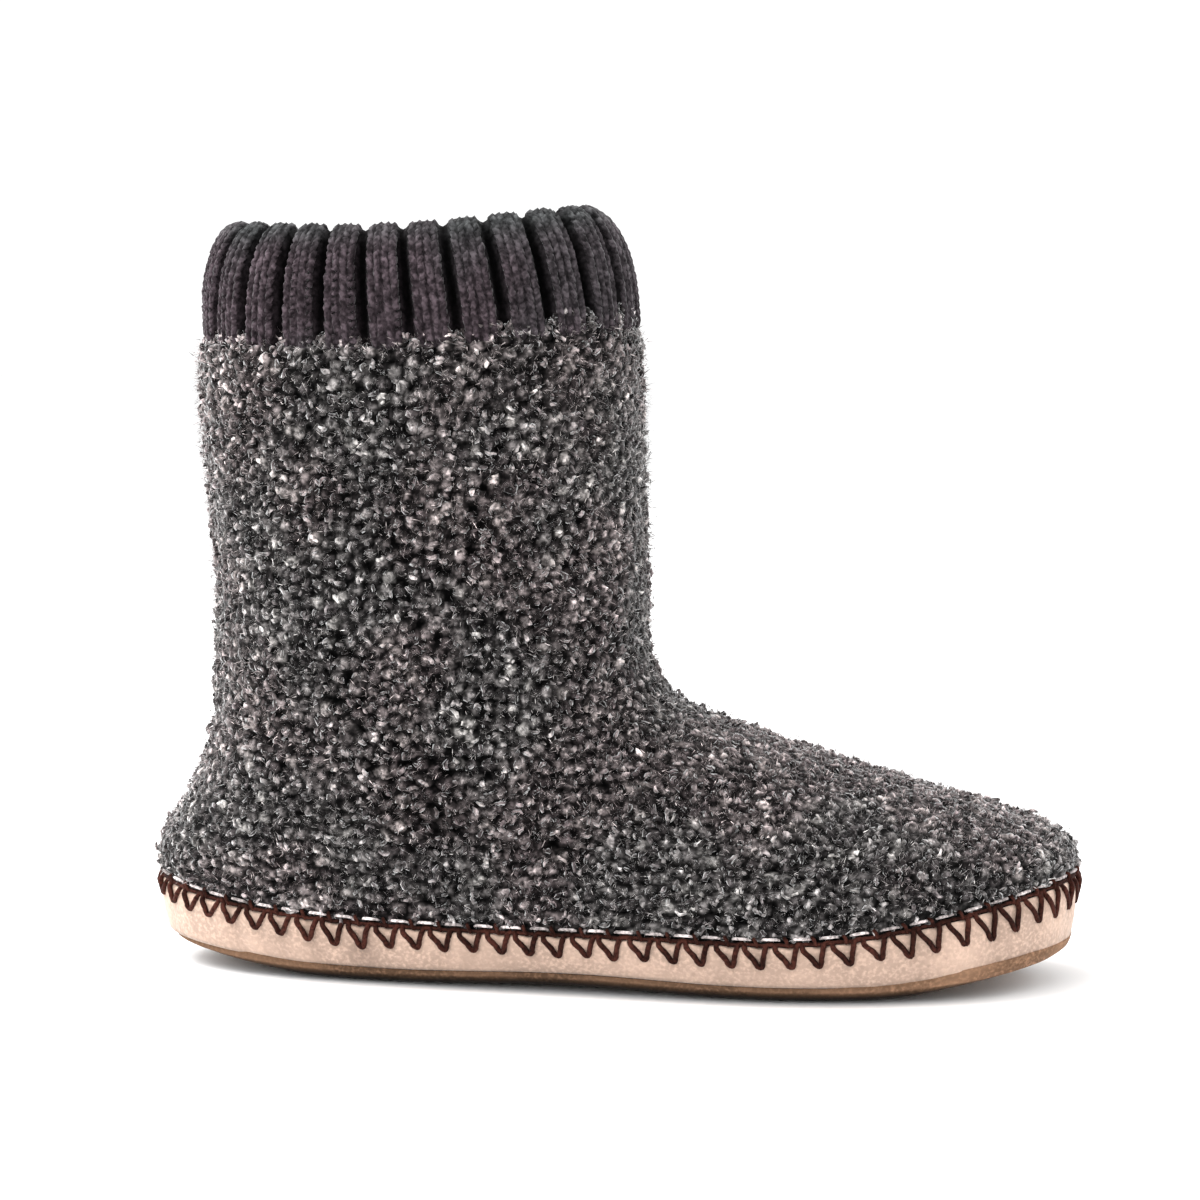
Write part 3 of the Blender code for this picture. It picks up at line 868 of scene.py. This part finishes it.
# How far behind its hole each V starts, from the heel to the toe, in millimetres
ARM_BEHIND = ((-140, 1.5), (-115, 2.2), (-90, 3.2), (-60, 4.0), (40, 4.2), (100, 5.2), (130, 5.8))
KNOTS = 8  # places that the thread is led through for each stitch
SAMPLES = 3  # from one of them to the next

skin_tree = BVHTree.FromPolygons(boot_points.tolist(), boot_faces)


def on_shoe(along, above, proud):
    """Points on the shoe at some height above the band's top edge, proud of the surface."""
    plan, outward = spots(band_walk, along)
    top, foot = band_height(along, 1.0), band_height(along, 0.0)
    points, outside = [], 15 * MM
    for xy, out, over, high, low in zip(plan, outward, above, top, foot):
        inset = band_inset(1 + over / (high - low))
        if over > 0:
            start = Vector((*(xy + out * outside), high + over))
            hit = skin_tree.ray_cast(start, Vector((*-out, 0.0)))[3]
            on_knit = hit - outside if hit else inset
            inset += (on_knit - inset) * min(over / (1.6 * MM), 1.0)
        points.append((*(xy - out * inset), high + over))
    lift = np.column_stack([outward, np.clip(above / (3 * MM), 0, 0.4)])
    return np.array(points) + unit(lift) * np.broadcast_to(proud, len(along))[:, None]


def through(knots, samples):
    """A smooth curve through each row of knots, with some samples between neighbours."""
    before, after = np.roll(knots, 1, axis=0), np.roll(knots, -1, axis=0)
    beyond = np.roll(knots, -2, axis=0)
    t = np.arange(samples)[None, :, None] / samples
    a, b, c, d = (k[:, None] for k in (before, knots, after, beyond))
    bend = 2 * a - 5 * b + 4 * c - d + t * (3 * (b - c) + d - a)
    curve = b + 0.5 * t * (c - a + t * bend)
    return curve.reshape(-1, knots.shape[1])


behind = along_shoe(ARM_BEHIND, x_at_hole)
ahead = V_WIDTH - behind
knots = []
for turn in range(-1, stitch_count + 1):
    stitch = turn % stitch_count
    hole = hole_along[stitch] + (turn - stitch) // stitch_count * band_walk.girth
    drop, back, front = hole_drop[stitch], behind[stitch], ahead[stitch]
    knots += [
        (hole - back - 0.4 * MM, 0.7 * MM, 0.60 * MM),
        (hole - back + 0.1 * MM, -0.7 * MM, 0.70 * MM),
        (hole - 0.45 * back, -0.55 * drop, 0.55 * MM),
        (hole - 0.75 * MM, -drop + 0.6 * MM, 0.45 * MM),
        (hole + 0.45 * MM, -drop + 0.3 * MM, 0.40 * MM),
        (hole + 0.55 * front, -0.60 * drop, 0.55 * MM),
        (hole + front - 0.1 * MM, -0.7 * MM, 0.70 * MM),
        (hole + front + 0.4 * MM, 0.7 * MM, 0.60 * MM),
    ]
one_round = slice(KNOTS * SAMPLES, (stitch_count + 1) * KNOTS * SAMPLES + 1)
zigzag = through(np.array(knots), SAMPLES)[one_round]


def thread(name, colour, roughness):
    """Waxed thread: twisted plies, darker where they meet, and unevenly waxed."""
    material, shader, place = new_material(name, roughness, 0.02)
    shader.inputs["Specular IOR Level"].default_value = 0.04
    twist = noise(material, place, 0.45 * MM, 2.0)
    waxed = noise(material, place, 4 * MM, 1.0)
    ground = blend(material, twist, 0.35, 0.62, times(colour, 0.55), times(colour, 1.35))
    ground = lighter(material, ground, waxed, 0.38, 0.62, 0.6, 1.2)
    return finished(material, shader, ground, ((twist, 0.25 * MM),))


brown = thread("brown_thread", THREAD_BROWN, 0.75)


def sewn(name, path, radius, lay):
    """A long piece of brown thread, which swells at every turn of its lay."""
    steps = np.linalg.norm(np.diff(path, axis=0), axis=1)
    distance = np.concatenate([[0], np.cumsum(steps)])
    radii = radius * (1 + PLY_SWELL * np.sin(2 * np.pi * distance / lay))
    tubes(name, path[None], radii[None], THREAD_SIDES, brown)


sewn("whip_stitch", on_shoe(*zigzag.T), THREAD_RADIUS, 1.7 * MM)

# The same thread also lies along the seam, under the tops of all the Vs.
along = np.linspace(0, band_walk.girth, stitch_count * 12 + 1)
waver = BAR_WAVER * np.cos(2 * np.pi * along / pitch)
sewn("whip_stitch_bar", on_shoe(along, BAR_ABOVE + waver, BAR_PROUD), BAR_RADIUS, 1.9 * MM)

# ---- Running stitch ----
# Thick off-white cotton through the knit, just above the band. The brown thread is drawn up
# through each gap between two of its stitches.
COTTON_WHITE = (0.53, 0.47, 0.46)
COTTON_RADIUS = 0.45 * MM
DASH = (0.2 * MM, 5.4 * MM)  # where a dash starts and ends, measured from the hole below it
DASH_ABOVE = 2.3 * MM
DASH_SWELL = (0.72, 0.95, 1.06, 0.98, 1.06, 0.98, 0.95, 0.72)  # of its radius, from end to end
LOCK_AT = -1.5 * MM
LOCK_RADIUS = 0.72 * THREAD_RADIUS

cotton = thread("running_cotton", COTTON_WHITE, 0.85)
steps = np.linspace(0, 1, len(DASH_SWELL))
dashes, locks = [], []
for hole in hole_along:
    run = hole + DASH[0] + (DASH[1] - DASH[0]) * steps
    dip = np.minimum(np.sin(np.pi * steps) * 3.5, 1.0)
    dashes.append(on_shoe(run, np.full_like(run, DASH_ABOVE), (-0.5 + 1.25 * dip) * MM))
    rise = (0.2 + 2.9 * steps) * MM
    proud = (0.35 + 0.8 * np.sin(np.pi * steps)) * MM - 1.2 * MM * steps**4
    locks.append(on_shoe(hole + LOCK_AT - 1.3 * MM * (steps - 0.5), rise, proud))
dash_radii = COTTON_RADIUS * np.tile(DASH_SWELL, (stitch_count, 1))
lock_radii = np.full_like(dash_radii, LOCK_RADIUS)
tubes("running_stitch", np.array(dashes), dash_radii, 7, cotton)
tubes("whip_stitch_locks", np.array(locks), lock_radii, 5, brown)

# ---- Cuff ----
# A chunky rib, knitted double and sewn inside the top of the boot. The ribs stand out, each two
# wales wide, the purl grooves between them fall back into shade, and the rim is drawn in.
RIBS = 26
RIB_YARN = np.array((0.040, 0.0325, 0.036))
RIM_GREY = np.array((0.040, 0.039, 0.040))
GROOVE = 3.2 * MM
RIB_CROWN = 0.9 * MM
RIB_LEAN = 3.8 * MM  # how far the ribs lean in by the rim, where they lean the most
RIB_COLUMNS = 14  # columns of the ground for each rib
GROUND_STEP = 2.4 * MM  # from one of its rings to the next
GROUND_SUNK = 0.4 * MM  # how much deeper it lies than the ribs, except over the rim
ROW_PITCH = 2.3 * MM
CUFF_FOOT = 5.0 * MM  # inside the outline, where the height of its foot is read
GRAINS = 4  # across each rib, two for each wale
GRAIN_GAP = 2.5 * MM
GRAIN_RADIUS = 1.08 * MM
GRAIN_REACH = 1.9 * MM  # up and down from its middle
GRAIN_SLANT = 0.55 * MM
GRAIN_HUMP = 0.26 * MM
GRAIN_SUNK = 0.85 * MM
GRAIN_SIDES = 4
GRAIN_SWELL = np.array((0.62, 0.92, 1.0, 0.92, 0.62))  # of its radius, from end to end

# Section of the cuff up the outside, over the rim and down the inside: depth inside the outline
# at its foot, and height above the seam, in millimetres
CUFF_SECTION = (
    ((0.2, -2.0), (0.0, 0.5), (0.2, 10.0), (1.6, 19.0), (3.6, 25.0), (6.2, 29.6), (8.9, 32.3))
    + ((11.2, 33.2), (13.2, 31.8), (13.9, 28.0), (11.6, 19.5), (8.4, 9.0), (7.0, -0.5))
)
CUFF_BACKWARD = 0.06  # how far it leans back towards the heel, for its height
CUFF_INNER_SIDE = 0.09  # how much lower it stands on the inner side of the leg

cuff_walk = walk_round("cuff", CUFF_FOOT, CUFF_FOOT, softness=10)


def cuff_section():
    """The section at even steps along its length: inset, rise and the direction that faces out."""
    rows = np.array(CUFF_SECTION) * MM
    knots = np.concatenate([[2 * rows[0] - rows[1]], rows, [2 * rows[-1] - rows[-2]]])
    fine = through(knots, 10)[10 : -20 + 1]
    length = np.concatenate([[0], np.cumsum(np.linalg.norm(np.diff(fine, axis=0), axis=1))])
    even = np.arange(0, length[-1], 0.5 * MM)
    path = np.stack([np.interp(even, length, fine[:, i]) for i in range(2)], -1)
    run = unit(np.gradient(path, axis=0))
    return even, path, np.stack([run[:, 1], run[:, 0]], -1)


section_at, section_path, section_out = cuff_section()
rim = section_at[np.argmax(section_path[:, 1])]  # how far up its section the rim is


def cuff_place(along, up, proud):
    """Points on the cuff: distance along its outline and up its section, and how proud they are.

    The ribs lean towards the middle of each long side as they go up to the drawn-in rim.
    """
    lean = np.clip(up / section_at[-1] * 2, 0, 1) ** 1.3
    along = along + RIB_LEAN * lean * np.sin(4 * np.pi * along / cuff_walk.girth + 0.38)
    inset, rise = (np.interp(up, section_at, values) for values in section_path.T)
    out, over = (np.interp(up, section_at, values) for values in section_out.T)
    plan, outward = spots(cuff_walk, along)
    foot = round_loop(cuff_walk.low, cuff_walk, along)
    rise = rise * (1 - CUFF_INNER_SIDE * np.interp(plan[:, 1], (-10 * MM, 30 * MM), (0, 1)))
    plan = plan + outward * (proud * out - inset)[:, None]
    plan[:, 0] -= CUFF_BACKWARD * rise
    return np.column_stack([plan, foot + rise + proud * over])


def groove_depth(phase, up):
    """How far the ground falls back at some phase of the rib: 0 on the rib, all of it between."""
    across = np.abs(np.mod(phase, 1.0) - 0.5) * 2
    fall = np.clip((across - 0.55) / 0.40, 0, 1)
    fall = fall * fall * (3 - 2 * fall)
    places_up = (0, 12 * MM, rim - 9 * MM, rim - 2 * MM, rim + 3 * MM, rim + 9 * MM)
    opening = np.interp(up, places_up, (0.35, 1.0, 0.95, 0.36, 0.36, 0.6))
    return fall * GROOVE * opening - RIB_CROWN * (1 - across**2)


def rib_shade(depth, up):
    """The colour of the rib at some depth: painted shade darker as it falls back, greyer on the
    rim.
    """
    depths = (-RIB_CROWN, 0.15 * MM, 0.45 * GROOVE, GROOVE)
    shade = np.interp(depth, depths, (1.15, 0.8, 0.16, 0.02))
    greyer = bell(up - rim + 3 * MM, 5 * MM)[:, None]
    return (RIB_YARN + (RIM_GREY - RIB_YARN) * greyer) * shade[:, None]


columns = RIBS * RIB_COLUMNS
rows_up = np.arange(0, section_at[-1], GROUND_STEP)
phase = np.tile(np.arange(columns) / RIB_COLUMNS, len(rows_up))
up = np.repeat(rows_up, columns)
stretched = bell(up - rim, 7 * MM)  # the knit lies smoother over the rim
sunk = groove_depth(phase, up) + GROUND_SUNK * (1 - stretched)
points = cuff_place(phase * cuff_walk.girth / RIBS, up, -sunk)
rib_dyes = ((1.05, 0.98, 1.02), (0.94, 1.0, 0.99))
rib_yarn = yarn("rib_yarn", 0.95, 0.12, (0.6, 1.35), rib_dyes)
faces = quads_between(len(rows_up), columns)
cuff_ground = new_piece("cuff_ground", points, faces, rib_yarn, "cuff")
# Painted shade: the ground between the grains is painted darker than they are.
painted(cuff_ground, 0.55 * rib_shade(groove_depth(phase, up), up))

# Four leaning grains of yarn lie across each rib in every row, as the legs of two knit stitches.
rows = np.arange(0.4, section_at[-1] / ROW_PITCH - 1.2)
grid = np.meshgrid(np.arange(RIBS), np.arange(GRAINS), rows, indexing="ij")
rib, column, row = (numbers.ravel() for numbers in grid)
rib_pitch = cuff_walk.girth / RIBS
jitter = np.random.default_rng(9).normal(0, 1, (len(rib), 3))
middle = (rib + 0.5) * rib_pitch + (column - 1.5) * GRAIN_GAP + jitter[:, 0] * 0.12 * MM
height = (row + 0.5) * ROW_PITCH + jitter[:, 1] * 0.10 * MM
slant = np.where(column % 2 == 0, -GRAIN_SLANT, GRAIN_SLANT)
step = np.linspace(-1, 1, len(GRAIN_SWELL))
paths, dyes_and_shade = [], []
tone = jitter[:, 2:].clip(-2, 2) * 0.12 + 1
# Painted shade: each grain is darker where it sinks back and towards its ends.
for s in step:
    at = middle + slant * s
    over = height + s * GRAIN_REACH
    sink = groove_depth(at / rib_pitch, over)
    dyes_and_shade.append(rib_shade(sink, over) * tone * (1 - 0.35 * s**4))
    paths.append(cuff_place(at, over, -sink - GRAIN_SUNK + GRAIN_HUMP * (1 - s**2)))
paths = np.stack(paths, 1)
radii = GRAIN_RADIUS * GRAIN_SWELL * (1 + 0.06 * jitter[:, 2:])
grains, _ = tubes("cuff_rib_stitches", paths, radii, GRAIN_SIDES, rib_yarn)
painted(grains, np.repeat(np.stack(dyes_and_shade, 1).reshape(-1, 3), GRAIN_SIDES, axis=0))

# ---- Collar seam ----
# The boot's last rows of boucle are linked over the foot of the cuff, so its nubs stand up past
# the seam in a ragged line.
COLLAR_NUBS = 440
COLLAR_RISE = (0.0 * MM, 3.6 * MM)  # up the cuff
COLLAR_FRONT = 1.8  # how many times higher they stand at the shin
COLLAR_PILE = 1.1 * MM

along = chance.uniform(0, cuff_walk.girth, COLLAR_NUBS)
plan, outward = spots(cuff_walk, along)
higher = np.interp(plan[:, 0], (-0.05, -0.005), (1, COLLAR_FRONT))
up = between(COLLAR_RISE, COLLAR_NUBS) * higher
roots = cuff_place(along, up, np.zeros(COLLAR_NUBS))
ways = unit(np.column_stack([outward, chance.normal(0, 0.2, COLLAR_NUBS)]))
shade = NUB_SHADES[chance.choice(len(NUB_SHADES), COLLAR_NUBS, p=NUB_SHARES)]
curls_over("collar_curls", roots, ways, np.full(COLLAR_NUBS, COLLAR_PILE), shade)

# ---- Studio ----
# A white floor and a white surround, lit softly by square lamps from above, the front and both
# ends of the shoe. The camera stands off its outer side, as high as its rim and nearer its toe.
MIDDLE_OF_SHOE = Vector((0.0, 0.0, 0.10))
EYE = Vector((0.1878, -1.0833, 0.225))
AIM = Vector((-0.0032, 0.0, 0.1112))


def softbox(name, place, size, power):
    """A square lamp that faces the shoe."""
    lamp = bpy.data.lights.new(name, "AREA")
    lamp.size = size
    lamp.energy = power
    holder = placed(name, lamp)
    holder.location = place
    way = MIDDLE_OF_SHOE - Vector(place)
    holder.rotation_euler = way.to_track_quat("-Z", "Y").to_euler()


floor_white = bpy.data.materials.new("floor_white")
floor_white.use_nodes = True
floor_shader = floor_white.node_tree.nodes["Principled BSDF"]
floor_shader.inputs["Base Color"].default_value = (0.9, 0.9, 0.9, 1.0)
floor_shader.inputs["Roughness"].default_value = 0.9
floor_mesh = bpy.data.meshes.new("floor")
floor_mesh.from_pydata([(-4, -4, 0), (4, -4, 0), (4, 4, 0), (-4, 4, 0)], [], [(0, 1, 2, 3)])
floor_mesh.materials.append(floor_white)
placed("floor", floor_mesh)

world = bpy.data.worlds.new("surround")
world.use_nodes = True
world.node_tree.nodes["Background"].inputs["Color"].default_value = (1.0, 1.0, 1.0, 1.0)
world.node_tree.nodes["Background"].inputs["Strength"].default_value = 1.10
bpy.context.scene.world = world
bpy.context.scene.view_settings.view_transform = "Standard"

softbox("lamp_above", (-0.6, -0.1, 1.3), 1.2, 29)
softbox("lamp_front", (-0.6, -1.6, 0.9), 1.0, 8)
softbox("lamp_heel_side", (-1.1, 0.3, 0.7), 0.8, 11)
softbox("lamp_toe_side", (1.1, 0.4, 0.7), 0.8, 8)

lens = bpy.data.cameras.new("camera")
lens.sensor_width = 36.0
lens.lens = 111.4
camera = placed("camera", lens)
camera.location = EYE
camera.rotation_euler = (AIM - EYE).to_track_quat("-Z", "Y").to_euler()
bpy.context.scene.camera = camera
